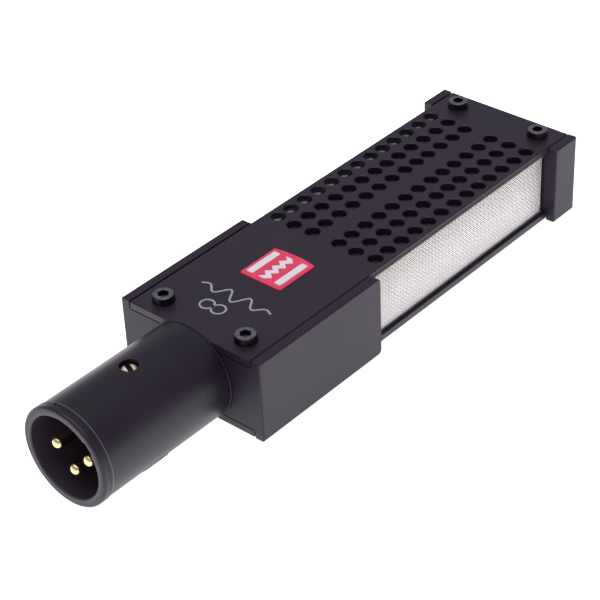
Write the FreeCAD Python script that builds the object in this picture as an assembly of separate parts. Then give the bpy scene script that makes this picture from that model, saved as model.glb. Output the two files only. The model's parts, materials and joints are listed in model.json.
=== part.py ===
import FreeCAD, Part
import math
import os

# Ribbon microphone. Millimetres. +Y runs from the connector's mouth to the head, +Z is out of the front
# plate, +X is to the right. The microphone lies on the four screw heads of its back plate, at z = 0.

# Body
BODY_WIDTH = 34.0            # x, across the housing's side walls
BODY_DEPTH = 17.2            # z, from the back plate's face to the front plate's
BODY_LENGTH = 98.1           # y, housing, chamber and head block together
HOUSING_LENGTH = 33.8
HEAD_LENGTH = 7.1
EDGE_ROUND = 0.3             # outer edges of housing and head block
WALL_CORNER = 1.0            # corners of the housing's side walls at the chamber
POCKET_WIDTH = 30.0          # the plates lie in pockets between the side walls
POCKET_CORNER = 0.3
CAVITY_HALF_WIDTH = 13.0
END_WALL = 8.0               # solid end of the housing, at the stem
SEAM = 0.22                  # open seam under the plate's end, at the housing's end face
SEAM_DEPTH = 1.2
WEB = 3.0                    # wall between the housing's cavity and the chamber

# Plates, their perforations and their screws
PLATE_WIDTH = 29.4
PLATE_THICK = 1.5
PLATE_EDGE = 0.15
PLATE_CORNER = 0.22
HOLE_RADIUS = 1.5
HOLE_CHAMFER = 0.18
INNER_COLUMN = 3.3           # the perforations stand in three columns on each side of the plate
COLUMN_PITCH = 4.4
HOLE_PITCH = 4.15
SHORT_HOLE_PITCH = 3.8       # two shorter steps towards the head
FIRST_HOLE = 38.3            # inner and outer columns, from the housing's end face
FIRST_HOLE_STEP = 3.75
MIDDLE_FIRST_HOLE = 37.95    # middle column
MIDDLE_LAST_STEP = 4.3
SCREW_X = 10.1
SCREW_INSET = 4.2            # from either end of the plate
SCREW_HEAD_RADIUS = 2.2
SCREW_HEAD_TOP_RADIUS = 1.97
SCREW_HEAD_HEIGHT = 1.45
SCREW_HEAD_CHAMFER = 0.07
SCREW_SHANK_RADIUS = 1.2
SCREW_THREAD_RADIUS = 1.25
SCREW_HOLE_RADIUS = 1.4
SCREW_LENGTH = 6.3
SCREW_HOLE_SPARE = 0.3       # thread left free beyond the screw's end
SCREW_KEY = 2.0              # across the flats of the hex socket
SCREW_KEY_DEPTH = 1.1
SCREW_KEY_TURN = 15.0        # of the hex socket, in degrees

# Stem and connector
STEM_LENGTH = 31.9
STEM_RADIUS = 9.85
COLLAR_RADIUS = 10.02        # thin collar of the stem, against the housing's end face
COLLAR_LENGTH = 0.4
COLLAR_EDGE = 0.08
RING_RADIUS = 10.0
RING_LENGTH = 2.2
RING_ROUND = 0.6
RING_EDGE = 0.14
RING_SCORE = 0.1             # fine scored line round the ring
RING_SCORE_INSET = 0.75      # from the ring's rear edge
SOCKET_RADIUS = 8.25
SOCKET_DEPTH = 14.5
SOCKET_ROUND = 0.35          # inner edge of the mouth
INSERT_LENGTH = 7.0
INSERT_RADIUS = 8.2
REAR_RADIUS = 7.4
STEM_FLOOR = 5.0             # solid stretch of the stem before the body
SPIGOT_RADIUS = 6.0          # threaded end of the stem, inside the housing
SPIGOT_BORE = 4.9
SPIGOT_LENGTH = 10.9
FIT_GAP = 0.02               # radial gap of pieces that are fitted to each other
NUT_RADIUS = 7.1
NUT_NOTCH_WIDTH = 1.6
NUT_NOTCH_DEPTH = 1.3
TAG_THICK = 0.4
TAG_REACH = 10.6             # end of the solder tab, from the stem's axis
TAG_WIDTH = 2.4
KEYWAY_ANGLE = 39.5          # degrees from +X
KEYWAY_WIDTH = 2.4
KEYWAY_DEPTH = 0.5
NICK_ANGLE = 102.8
NICK_WIDTH = 0.5
NICK_LENGTH = 0.7
NICK_DEPTH = 0.25
PIN_CIRCLE_RADIUS = 3.96
PIN_RADIUS = 1.2
PIN_TIP_INSET = 1.5          # pin tips lie this far inside the mouth
PIN_TAIL = 1.8               # solder cups stand out behind the insert
PIN_NOSE = 0.96              # round of the pin's tip
CUP_GAP = 0.05               # round the lead in its solder cup
CUP_FLOOR = 0.4
LOCK_SCREW_Y = -14.9         # from the housing's end face
LOCK_SCREW_RADIUS = 1.5
LOCK_HOLE_RADIUS = 1.78
LOCK_SCREW_BOTTOM = 4.9      # from the stem's axis
LOCK_HOLE_SPARE = 0.3         # under the screw's end
LOCK_SCREW_TOP = 9.3
LOCK_SCREW_DOME = 3.4         # radius of its rounded head
LOCK_SLOT_ANGLE = -24.0
LOCK_SLOT_WIDTH = 1.05
LOCK_SLOT_DEPTH = 0.9
LOCK_THREAD_GAP = 0.05
LABEL_RADIUS = 9.97
LABEL_ANGLES = (-139.0, -41.0)
LABEL_Y = (-20.0, -14.6)

# Badge
BADGE_SIZE = 10.0
BADGE_Y = 24.2
BADGE_BOW = 0.5
BADGE_SUNK = 0.3
BADGE_PROUD = 0.25
BADGE_CORNER = 0.5
BADGE_EDGE = 0.1
BADGE_GAP = 0.05             # between the badge and its recess
EMBLEM_PROUD = 0.15
EMBLEM_HALF_LENGTH = 4.0
EMBLEM_BAR_X = 3.4
EMBLEM_BAR_WIDTH = 1.5
EMBLEM_BAR_CORNER = 0.3
EMBLEM_RIBBON_WIDTH = 1.5
EMBLEM_WAVES = 8
EMBLEM_WAVE_DEPTH = 1.1

# Chamber
MESH_FACE_X = 13.8
MESH_THICK = 0.4
SCREEN_THICK = 0.3
SCREEN_GAP = 0.05
SCREEN_EDGE_GAP = 0.1
SCREEN_HALF_WIDTH = 12.5

# Ribbon motor
MOTOR_HALF_WIDTH = 11.5
MOTOR_HALF_DEPTH = 4.0
MOTOR_PAD = 1.5
PAD_SIDE_INSET = 0.5         # of the rubber pads inside the motor's outline
PAD_FACE_INSET = 0.2
MOTOR_SCREW_X = 8.0
MOTOR_SCREW_HOLE = 1.1
MOTOR_SCREW_SHANK = 0.95
MOTOR_SCREW_HEAD = 1.9
MOTOR_SCREW_HEAD_HEIGHT = 1.5
MOTOR_SCREW_REACH = 4.0      # into the motor's frame
MOTOR_HOLE_SPARE = 0.5
MOTOR_SCREW_ROUND = 0.4
MOTOR_SCREW_SLOT = 0.5        # width
MOTOR_SCREW_SLOT_DEPTH = 0.6
THREAD_GAP = 0.05             # round the small screws in their threads
WEB_LEAD_HOLE = 2.2          # middle hole, for the lower ribbon lead
UPPER_LEAD_HOLE = 0.7
UPPER_LEAD_Z = 0.8
FRAME_RAIL = 2.3
FRAME_BAR = 6.0
FRAME_CORNER = 1.5
FRAME_LEAD_SLOT = 1.8         # half width of the slot for the lower ribbon lead
FRAME_LEAD_SLOT_Z = (-0.2, 2.2)
FRAME_NOTCH_Y = (1.2, 2.4)    # notch for the upper ribbon lead, from the window
FRAME_NOTCH_Z = (0.2, 1.5)
MAGNET_DEPTH = 6.4
MAGNET_WIDTH = 4.6
MAGNET_END_GAP = 0.3
POLE_TIP_X = 2.4
POLE_TIP_HALF_DEPTH = 1.0
RIBBON_WIDTH = 4.0
RIBBON_THICK = 0.12
RIBBON_INSET = 1.0           # of the free foil's ends from the window's
RIBBON_GAP = 0.3             # between the free foil and its clamped ends
RIBBON_PLEAT = 1.0           # half of one corrugation
RIBBON_WAVE = 0.35
CLAMP_HALF_WIDTH = 4.5
CLAMP_LENGTH = 3.2
CLAMP_TOP = 1.6
CLAMP_FLOOR = 0.8            # thickness of the frame under the clamp blocks
CLAMP_INSET = 0.2            # of the clamp bar's ends from its block's
CLAMP_BAR_HOLE = 0.9
CLAMP_BAR_ROUND = 0.3
POCKET_SIDE_GAP = 0.2         # round the clamp blocks
POCKET_END_GAP = 0.4
CLAMP_SCREW_X = 3.3
CLAMP_SCREW_LENGTH = 3.6
CLAMP_SCREW_SHANK = 0.6
SMALL_HEAD_RADIUS = 1.1
SMALL_HEAD_HEIGHT = 0.8
SMALL_HEAD_ROUND = 0.3
SMALL_SLOT = 0.3             # width
SMALL_SLOT_DEPTH = 0.35
RESONATOR_THICK = 0.5
RESONATOR_INSET = 0.8
RESONATOR_SIDE_INSET = 0.2
RESONATOR_CORNER = 1.2
RESONATOR_SLOT_SHARE = 0.6   # of the slots' pitch that is open
RESONATOR_HOLE_GAP = 0.15
RESONATOR_SLOTS = 9
RESONATOR_SLOT_HALF_WIDTH = 6.0
RESONATOR_SCREW_X = 10.3
RESONATOR_SCREW_INSET = 2.4
RESONATOR_SCREW_LENGTH = 3.5
RESONATOR_SCREW_SHANK = 0.7

# Transformer
CORE_Y = (13.6, 27.6)
CORE_WIDTH = 18.0
CORE_DEPTH = 9.0
CORE_LIMB = 3.0
CORE_YOKE = 2.6
CORE_GAP = 0.1               # between the core and the bobbin
BOBBIN_WALL = 0.6
BOBBIN_FLANGE = 2.4
WINDING_THICK = 1.4
TAPE_THICK = 0.2
FOAM_INSET = 0.2             # of the foam strips from the core's sides
FOAM_WIDTH = 2.6

# Leads
LEAD_RADIUS = 0.5
LEAD_BEND = 1.0
FINE_LEAD_RADIUS = 0.4
FINE_LEAD_BEND = 0.9
UPPER_LEAD_X = 12.2
GROUND_LEAD_X = 9.3
LOWER_LEAD_X = -0.9
LOWER_LEAD_Z = (0.9, 5.9)    # at the clamp and over the bobbin
LOWER_LEAD_TURN = 29.0       # y of its step
UPPER_LEAD_Z_FAR = 5.2
UPPER_LEAD_TURN = 29.2
UPPER_LEAD_END_X = 4.5
UPPER_LEAD_RISE = 0.05       # over the middle of its hole
LEAD_SUNK = 0.5              # start of the output leads inside the solder cups
OUTPUT_LEAD_LEAVE = 0.2      # beyond the spigot's end
OUTPUT_LEAD_ARRIVE = 1.6
OUTPUT_LEAD_Z = 5.8          # over the core's yoke
HOT_LEAD_X = -2.0
GROUND_LEAD_TURN = 1.4

# Lengths of cutters and of joined pieces
THROUGH = (-5.0, 5.0)        # z of a cut through the motor or the core
OVERLAP = 0.1                # of pieces that are joined, and of cutters beyond a face
NEAR = 0.01                  # edges this close to a face belong to it

# Places that follow from the sizes above
HALF_DEPTH = BODY_DEPTH / 2
PLATE_FLOOR = HALF_DEPTH - PLATE_THICK
Y_JOINT = STEM_LENGTH - (STEM_LENGTH + BODY_LENGTH) / 2
AXIS_Z = HALF_DEPTH + SCREW_HEAD_HEIGHT
CHAMBER_START = HOUSING_LENGTH
CHAMBER_END = BODY_LENGTH - HEAD_LENGTH
MOTOR_START = CHAMBER_START + MOTOR_PAD
MOTOR_END = CHAMBER_END - MOTOR_PAD
WINDOW_START = MOTOR_START + FRAME_BAR
WINDOW_END = MOTOR_END - FRAME_BAR
RAIL_X = MOTOR_HALF_WIDTH - FRAME_RAIL
POLE_BACK_X = RAIL_X - MAGNET_WIDTH
MAGNET_Y = (WINDOW_START + MAGNET_END_GAP, WINDOW_END - MAGNET_END_GAP)
INSERT_FACE = SOCKET_DEPTH - STEM_LENGTH
INSERT_BACK = INSERT_FACE + INSERT_LENGTH
SCREW_ROWS = (SCREW_INSET, BODY_LENGTH - SCREW_INSET)


# Every function below takes y from the housing's end face and z from the middle of the body.
def point(x, y, z):
    return FreeCAD.Vector(x, Y_JOINT + y, AXIS_Z + z)


def block(xs, ys, zs):
    """Box between the low and high x, y and z."""
    return Part.makeBox(xs[1] - xs[0], ys[1] - ys[0], zs[1] - zs[0], point(xs[0], ys[0], zs[0]))


def slab(half_width, ys, zs):
    """Box that is centred on x = 0."""
    return block((-half_width, half_width), ys, zs)


def rod_y(radius, ys, x=0.0, z=0.0):
    return Part.makeCylinder(radius, ys[1] - ys[0], point(x, ys[0], z), FreeCAD.Vector(0, 1, 0))


def rod_z(radius, zs, x, y):
    return Part.makeCylinder(radius, zs[1] - zs[0], point(x, y, zs[0]), FreeCAD.Vector(0, 0, 1))


def turned(profile):
    """Solid of revolution about the stem's axis. The profile is a closed list of (radius, y) points.

    An entry of two points ((r, y), (r, y)) is an arc from the entry before it, through its first to its second.
    """
    edges = []
    here = profile[0]
    for step in profile[1:] + [profile[0]]:
        start = point(here[0], here[1], 0)
        if isinstance(step[0], tuple):
            middle, end = step
            arc = Part.Arc(start, point(middle[0], middle[1], 0), point(end[0], end[1], 0))
            edges.append(arc.toShape())
            here = end
        else:
            edges.append(Part.makeLine(start, point(step[0], step[1], 0)))
            here = step
    face = Part.Face(Part.Wire(edges))
    return face.revolve(point(0, 0, 0), FreeCAD.Vector(0, 1, 0), 360)


def outline(points, axis_range, plane):
    """Prism on a closed outline. plane "yz" runs along x, plane "xy" along z, plane "xz" along y."""
    low, high = axis_range
    place = {
        "yz": lambda a, b: point(low, a, b),
        "xy": lambda a, b: point(a, b, low),
        "xz": lambda a, b: point(a, low, b),
    }[plane]
    along = {"yz": (1, 0, 0), "xy": (0, 0, 1), "xz": (0, 1, 0)}[plane]
    corners = [place(a, b) for a, b in points]
    face = Part.Face(Part.makePolygon(corners + corners[:1]))
    return face.extrude(FreeCAD.Vector(*along) * (high - low))


def edges_where(shape, test):
    """Edges of a shape whose centre, in body coordinates, and direction pass the test."""
    found = []
    for edge in shape.Edges:
        middle = edge.CenterOfMass
        run = edge.Vertexes[-1].Point - edge.Vertexes[0].Point
        if test(middle.x, middle.y - Y_JOINT, middle.z - AXIS_Z, run):
            found.append(edge)
    return found


def join(shapes):
    """One solid from pieces that overlap or touch."""
    return shapes[0].fuse(shapes[1:]).removeSplitter()


def group(shapes):
    """Separate solids of one node."""
    return Part.makeCompound(shapes)


def turned_over(shape):
    """The same piece on the back: half a turn about the stem's axis."""
    copy = shape.copy()
    copy.rotate(point(0, 0, 0), FreeCAD.Vector(0, 1, 0), 180)
    return copy


def mirrored(shape):
    """The same piece on the left."""
    return shape.mirror(FreeCAD.Vector(0, 0, 0), FreeCAD.Vector(1, 0, 0))


def lead(points, radius, bend):
    """Insulated wire along straight runs that are joined by tangent arcs."""
    corners = [point(*p) for p in points]
    edges = []
    start = corners[0]
    for before, corner, after in zip(corners, corners[1:], corners[2:]):
        arrive = (corner - before).normalize()
        leave = (after - corner).normalize()
        turn = arrive.getAngle(leave)
        cut = bend * math.tan(turn / 2)
        entry = corner - arrive * cut
        exit_point = corner + leave * cut
        inward = (leave - arrive).normalize()
        middle = corner + inward * (bend / math.cos(turn / 2) - bend)
        edges.append(Part.makeLine(start, entry))
        edges.append(Part.Arc(entry, middle, exit_point).toShape())
        start = exit_point
    edges.append(Part.makeLine(start, corners[-1]))
    path = Part.Wire(edges)
    section = Part.Wire(Part.makeCircle(radius, corners[0], (corners[1] - corners[0]).normalize()))
    return path.makePipeShell([section], True, False)


def plate_pocket(ys):
    """Pocket for the front plate, with rounded corners at its floor."""
    pocket = slab(POCKET_WIDTH / 2, ys, (PLATE_FLOOR, HALF_DEPTH + 1))
    floor_edges = edges_where(
        pocket, lambda x, y, z, run: abs(x) > 1 and abs(z - PLATE_FLOOR) < NEAR and abs(run.y) > 1
    )
    return pocket.makeFillet(POCKET_CORNER, floor_edges)


def plate_screw_threads(ys):
    threads = []
    for x in (-SCREW_X, SCREW_X):
        for y in ys:
            front = rod_z(SCREW_THREAD_RADIUS, (PLATE_FLOOR - SCREW_LENGTH, PLATE_FLOOR + 1), x, y)
            threads.append(front)
            threads.append(turned_over(front))
    return threads


def housing():
    box = slab(BODY_WIDTH / 2, (0, HOUSING_LENGTH), (-HALF_DEPTH, HALF_DEPTH))
    far_corners = edges_where(box, lambda x, y, z, run: abs(run.x) > 1 and y > 1)
    box = box.makeFillet(WALL_CORNER, far_corners)
    side = BODY_WIDTH / 2
    box = box.makeFillet(EDGE_ROUND, edges_where(box, lambda x, y, z, run: abs(x) > side - NEAR))
    pocket = plate_pocket((-1, HOUSING_LENGTH + 1))
    cavity = slab(CAVITY_HALF_WIDTH, (END_WALL, HOUSING_LENGTH - WEB), (-HALF_DEPTH, HALF_DEPTH))
    seam = slab(PLATE_WIDTH / 2, (-1, SEAM_DEPTH), (PLATE_FLOOR - SEAM, PLATE_FLOOR + SEAM))
    cuts = [pocket, turned_over(pocket), cavity, seam, turned_over(seam)]
    cuts.append(rod_y(SPIGOT_RADIUS + FIT_GAP, (-1, END_WALL + 1)))
    cuts += plate_screw_threads(SCREW_ROWS[:1])
    web_y = (HOUSING_LENGTH - WEB - 1, HOUSING_LENGTH + 1)
    for x in (-MOTOR_SCREW_X, MOTOR_SCREW_X):
        cuts.append(rod_y(MOTOR_SCREW_HOLE, web_y, x))
    cuts.append(rod_y(WEB_LEAD_HOLE, web_y))
    cuts.append(rod_y(UPPER_LEAD_HOLE, web_y, UPPER_LEAD_X, UPPER_LEAD_Z))
    return box.cut(cuts)


def head_block():
    box = slab(BODY_WIDTH / 2, (CHAMBER_END, BODY_LENGTH), (-HALF_DEPTH, HALF_DEPTH))
    side = BODY_WIDTH / 2
    box = box.makeFillet(EDGE_ROUND, edges_where(box, lambda x, y, z, run: abs(x) > side - NEAR))
    pocket = plate_pocket((CHAMBER_END - 1, BODY_LENGTH + 1))
    return box.cut([pocket, turned_over(pocket)] + plate_screw_threads(SCREW_ROWS[1:]))


def hole_cutter(x, y):
    """Drill for a plate hole, wider at the plate's outer face."""
    drill = rod_z(HOLE_RADIUS, (PLATE_FLOOR - 1, HALF_DEPTH + 1), x, y)
    top = point(x, y, HALF_DEPTH + HOLE_CHAMFER)
    depth = 2 * HOLE_CHAMFER
    bevel = Part.makeCone(HOLE_RADIUS + depth, HOLE_RADIUS, depth, top, FreeCAD.Vector(0, 0, -1))
    return drill.fuse(bevel)


def hole_places(is_middle):
    """y of the 13 holes of one column. The middle column has other steps at its two ends."""
    steps = [HOLE_PITCH] * 6 + [SHORT_HOLE_PITCH] * 2 + [HOLE_PITCH] * 3
    if is_middle:
        y = MIDDLE_FIRST_HOLE
        steps = steps + [MIDDLE_LAST_STEP]
    else:
        y = FIRST_HOLE
        steps = [FIRST_HOLE_STEP] + steps
    places = [y]
    for step in steps:
        y += step
        places.append(y)
    return places


def bare_plate():
    """Front plate with its perforations and screw holes."""
    half = PLATE_WIDTH / 2
    plate = slab(half, (0, BODY_LENGTH), (PLATE_FLOOR, HALF_DEPTH))
    under = edges_where(plate, lambda x, y, z, run: abs(run.y) > 1 and z < PLATE_FLOOR + 0.1)
    plate = plate.makeFillet(PLATE_CORNER, under)
    rim = edges_where(plate, lambda x, y, z, run: z > HALF_DEPTH - NEAR)
    plate = plate.makeChamfer(PLATE_EDGE, rim)
    cutters = []
    for column in range(3):
        x = INNER_COLUMN + column * COLUMN_PITCH
        for y in hole_places(column == 1):
            cutters.append(hole_cutter(-x, y))
            cutters.append(hole_cutter(x, y))
    for x in (-SCREW_X, SCREW_X):
        for y in SCREW_ROWS:
            cutters.append(rod_z(SCREW_HOLE_RADIUS, (PLATE_FLOOR - 1, HALF_DEPTH + 1), x, y))
    return plate.cut(cutters)


def badge_outline(z_range, inset):
    """Square with one side bowed towards the head."""
    half = BADGE_SIZE / 2 - inset
    low = BADGE_Y - half
    high = BADGE_Y + half
    corners = [point(-half, high, z_range[0]), point(-half, low, z_range[0])]
    corners += [point(half, low, z_range[0]), point(half, high, z_range[0])]
    edges = [Part.makeLine(a, b) for a, b in zip(corners, corners[1:])]
    edges.append(Part.Arc(corners[3], point(0, high + BADGE_BOW, z_range[0]), corners[0]).toShape())
    prism = Part.Face(Part.Wire(edges)).extrude(FreeCAD.Vector(0, 0, z_range[1] - z_range[0]))
    upright = edges_where(prism, lambda x, y, z, run: abs(run.z) > 0.01)
    return prism.makeFillet(BADGE_CORNER, upright)


def front_plate():
    recess = badge_outline((HALF_DEPTH - BADGE_SUNK, HALF_DEPTH + 1), -BADGE_GAP)
    return bare_plate().cut(recess)


def badge():
    tile = badge_outline((HALF_DEPTH - BADGE_SUNK, HALF_DEPTH + BADGE_PROUD), 0.0)
    top = edges_where(tile, lambda x, y, z, run: z > HALF_DEPTH + BADGE_PROUD - NEAR)
    return tile.makeChamfer(BADGE_EDGE, top)


def badge_emblem():
    """A wavy ribbon between two bars: a picture of the ribbon in its magnets."""
    z_range = (HALF_DEPTH + BADGE_PROUD, HALF_DEPTH + BADGE_PROUD + EMBLEM_PROUD)
    low = BADGE_Y - EMBLEM_HALF_LENGTH
    high = BADGE_Y + EMBLEM_HALF_LENGTH
    half = EMBLEM_BAR_WIDTH / 2
    bars = []
    for x in (-EMBLEM_BAR_X, EMBLEM_BAR_X):
        bar = block((x - half, x + half), (low, high), z_range)
        upright = edges_where(bar, lambda a, b, c, run: abs(run.z) > 0.01)
        bars.append(bar.makeFillet(EMBLEM_BAR_CORNER, upright))
    step = (high - low) / EMBLEM_WAVES
    left = []
    for i in range(EMBLEM_WAVES + 1):
        swing = EMBLEM_WAVE_DEPTH / 2 if i % 2 else -EMBLEM_WAVE_DEPTH / 2
        left.append((swing - EMBLEM_RIBBON_WIDTH / 2, low + i * step))
    right = [(x + EMBLEM_RIBBON_WIDTH, y) for x, y in reversed(left)]
    bars.append(outline(left + right, z_range, "xy"))
    return group(bars)


def plate_screw(x, y):
    """Socket head screw that stands on the front plate."""
    top = HALF_DEPTH + SCREW_HEAD_HEIGHT
    foot = point(x, y, HALF_DEPTH)
    head = Part.makeCone(SCREW_HEAD_RADIUS, SCREW_HEAD_TOP_RADIUS, SCREW_HEAD_HEIGHT, foot)
    rim = edges_where(head, lambda a, b, z, run: z > top - NEAR)
    head = head.makeChamfer(SCREW_HEAD_CHAMFER, rim)
    end = PLATE_FLOOR - SCREW_LENGTH + SCREW_HOLE_SPARE
    shank = rod_z(SCREW_SHANK_RADIUS, (end, HALF_DEPTH + OVERLAP), x, y)
    reach = SCREW_KEY / 2 / math.cos(math.pi / 6)
    corners = []
    for i in range(6):
        turn = math.radians(60 * i + SCREW_KEY_TURN)
        corners.append((x + reach * math.cos(turn), y + reach * math.sin(turn)))
    socket = outline(corners, (top - SCREW_KEY_DEPTH, top + OVERLAP), "xy")
    return join([head, shank]).cut(socket)


def front_plate_screws():
    return group([plate_screw(x, y) for x in (-SCREW_X, SCREW_X) for y in SCREW_ROWS])


def side_mesh():
    """Right mesh strip, between the plates."""
    xs = (MESH_FACE_X - MESH_THICK, MESH_FACE_X)
    return block(xs, (CHAMBER_START, CHAMBER_END), (-PLATE_FLOOR, PLATE_FLOOR))


def front_screen():
    top = PLATE_FLOOR - SCREEN_GAP
    ys = (CHAMBER_START + SCREEN_EDGE_GAP, CHAMBER_END - SCREEN_EDGE_GAP)
    return slab(SCREEN_HALF_WIDTH, ys, (top - SCREEN_THICK, top))


def stem():
    mouth = -STEM_LENGTH
    ring_start = mouth + RING_LENGTH
    bow = RING_ROUND * (1 - math.sqrt(0.5))
    rear_bow = RING_EDGE * (1 - math.sqrt(0.5))
    lip_bow = SOCKET_ROUND * (1 - math.sqrt(0.5))
    score = ring_start - RING_SCORE_INSET
    shell = turned([
        (SPIGOT_BORE, SPIGOT_LENGTH),
        (SPIGOT_RADIUS, SPIGOT_LENGTH),
        (SPIGOT_RADIUS, 0),
        (COLLAR_RADIUS - COLLAR_EDGE, 0),
        (COLLAR_RADIUS, -COLLAR_EDGE),
        (COLLAR_RADIUS, COLLAR_EDGE - COLLAR_LENGTH),
        (COLLAR_RADIUS - COLLAR_EDGE, -COLLAR_LENGTH),
        (STEM_RADIUS, -COLLAR_LENGTH),
        (STEM_RADIUS, ring_start),
        (RING_RADIUS - RING_EDGE, ring_start),
        ((RING_RADIUS - rear_bow, ring_start - rear_bow), (RING_RADIUS, ring_start - RING_EDGE)),
        (RING_RADIUS, score + RING_SCORE),
        (RING_RADIUS - RING_SCORE, score),
        (RING_RADIUS, score - RING_SCORE),
        (RING_RADIUS, mouth + RING_ROUND),
        ((RING_RADIUS - bow, mouth + bow), (RING_RADIUS - RING_ROUND, mouth)),
        (SOCKET_RADIUS + SOCKET_ROUND, mouth),
        ((SOCKET_RADIUS + lip_bow, mouth + lip_bow), (SOCKET_RADIUS, mouth + SOCKET_ROUND)),
        (SOCKET_RADIUS, INSERT_BACK),
        (REAR_RADIUS, INSERT_BACK),
        (REAR_RADIUS, -STEM_FLOOR),
        (SPIGOT_BORE, -STEM_FLOOR),
    ])
    keyway = block(
        (SOCKET_RADIUS - 1, SOCKET_RADIUS + KEYWAY_DEPTH), (mouth - 1, INSERT_FACE),
        (-KEYWAY_WIDTH / 2, KEYWAY_WIDTH / 2),
    )
    keyway.rotate(point(0, 0, 0), FreeCAD.Vector(0, 1, 0), -KEYWAY_ANGLE)
    nick = block(
        (RING_RADIUS - NICK_DEPTH, RING_RADIUS + 1), (ring_start - NICK_LENGTH, ring_start),
        (-NICK_WIDTH / 2, NICK_WIDTH / 2),
    )
    nick.rotate(point(0, 0, 0), FreeCAD.Vector(0, 1, 0), -NICK_ANGLE)
    lock_hole = rod_z(LOCK_HOLE_RADIUS, (SOCKET_RADIUS - 2, RING_RADIUS + 1), 0, LOCK_SCREW_Y)
    return shell.cut([keyway, nick, lock_hole])


def connector_insert():
    body = rod_y(INSERT_RADIUS, (INSERT_FACE, INSERT_BACK))
    through = (INSERT_FACE - 1, INSERT_BACK + 1)
    cuts = [rod_y(PIN_RADIUS + FIT_GAP, through, x, z) for x, z in pin_places()]
    lock_hole = (LOCK_SCREW_BOTTOM - LOCK_HOLE_SPARE, INSERT_RADIUS + 1)
    cuts.append(rod_z(LOCK_SCREW_RADIUS + LOCK_THREAD_GAP, lock_hole, 0, LOCK_SCREW_Y))
    return body.cut(cuts)


def pin_places():
    """x and z of contacts 1, 2 and 3."""
    return [(PIN_CIRCLE_RADIUS, 0.0), (-PIN_CIRCLE_RADIUS, 0.0), (0.0, -PIN_CIRCLE_RADIUS)]


def contact_pin(x, z):
    tip = PIN_TIP_INSET - STEM_LENGTH
    pin = rod_y(PIN_RADIUS, (tip, INSERT_BACK + PIN_TAIL), x, z)
    nose = edges_where(pin, lambda a, y, c, run: abs(y - tip) < NEAR)
    pin = pin.makeFillet(PIN_NOSE, nose)
    cup = rod_y(LEAD_RADIUS + CUP_GAP, (INSERT_BACK + CUP_FLOOR, INSERT_BACK + PIN_TAIL + 1), x, z)
    return pin.cut(cup)


def lock_screw():
    body = rod_z(LOCK_SCREW_RADIUS, (LOCK_SCREW_BOTTOM, LOCK_SCREW_TOP), 0, LOCK_SCREW_Y)
    dome = Part.makeSphere(LOCK_SCREW_DOME, point(0, LOCK_SCREW_Y, LOCK_SCREW_TOP - LOCK_SCREW_DOME))
    body = body.common(dome)
    half = LOCK_SLOT_WIDTH / 2
    reach = 2 * LOCK_SCREW_RADIUS
    slot = block(
        (-reach, reach), (LOCK_SCREW_Y - half, LOCK_SCREW_Y + half),
        (LOCK_SCREW_TOP - LOCK_SLOT_DEPTH, LOCK_SCREW_TOP + 1),
    )
    slot.rotate(point(0, LOCK_SCREW_Y, 0), FreeCAD.Vector(0, 0, 1), LOCK_SLOT_ANGLE)
    return body.cut(slot)


def stem_label():
    """Thin label that wraps the stem's underside."""
    low, high = LABEL_Y
    sweep = LABEL_ANGLES[1] - LABEL_ANGLES[0]
    strip = Part.Face(Part.makePolygon([
        point(STEM_RADIUS, low, 0), point(LABEL_RADIUS, low, 0), point(LABEL_RADIUS, high, 0),
        point(STEM_RADIUS, high, 0), point(STEM_RADIUS, low, 0),
    ])).revolve(point(0, 0, 0), FreeCAD.Vector(0, 1, 0), sweep)
    strip.rotate(point(0, 0, 0), FreeCAD.Vector(0, 1, 0), -LABEL_ANGLES[1])
    return strip


def stem_nut():
    """Ring nut on the spigot, with four notches for its driver."""
    ring = rod_y(NUT_RADIUS, (END_WALL + TAG_THICK, SPIGOT_LENGTH))
    half = NUT_NOTCH_WIDTH / 2
    notch = slab(NUT_RADIUS + 1, (SPIGOT_LENGTH - NUT_NOTCH_DEPTH, SPIGOT_LENGTH + 1), (-half, half))
    crossed_notch = notch.copy()
    crossed_notch.rotate(point(0, 0, 0), FreeCAD.Vector(0, 1, 0), 90)
    return ring.cut([notch, crossed_notch, rod_y(SPIGOT_RADIUS + FIT_GAP, (0, SPIGOT_LENGTH + 1))])


def ground_tag():
    """Washer under the ring nut, with a tab for the ground lead."""
    ys = (END_WALL, END_WALL + TAG_THICK)
    tab = block(((SPIGOT_RADIUS + NUT_RADIUS) / 2, TAG_REACH), ys, (-TAG_WIDTH / 2, TAG_WIDTH / 2))
    return join([rod_y(NUT_RADIUS, ys), tab]).cut(rod_y(SPIGOT_RADIUS + FIT_GAP, (0, SPIGOT_LENGTH + 1)))


def clamp_pocket(low, high):
    """Recess in the frame's end bar, open to the front and to the window."""
    zs = (-MOTOR_HALF_DEPTH + CLAMP_FLOOR, MOTOR_HALF_DEPTH + 1)
    return slab(CLAMP_HALF_WIDTH + POCKET_SIDE_GAP, (low, high), zs)


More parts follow.
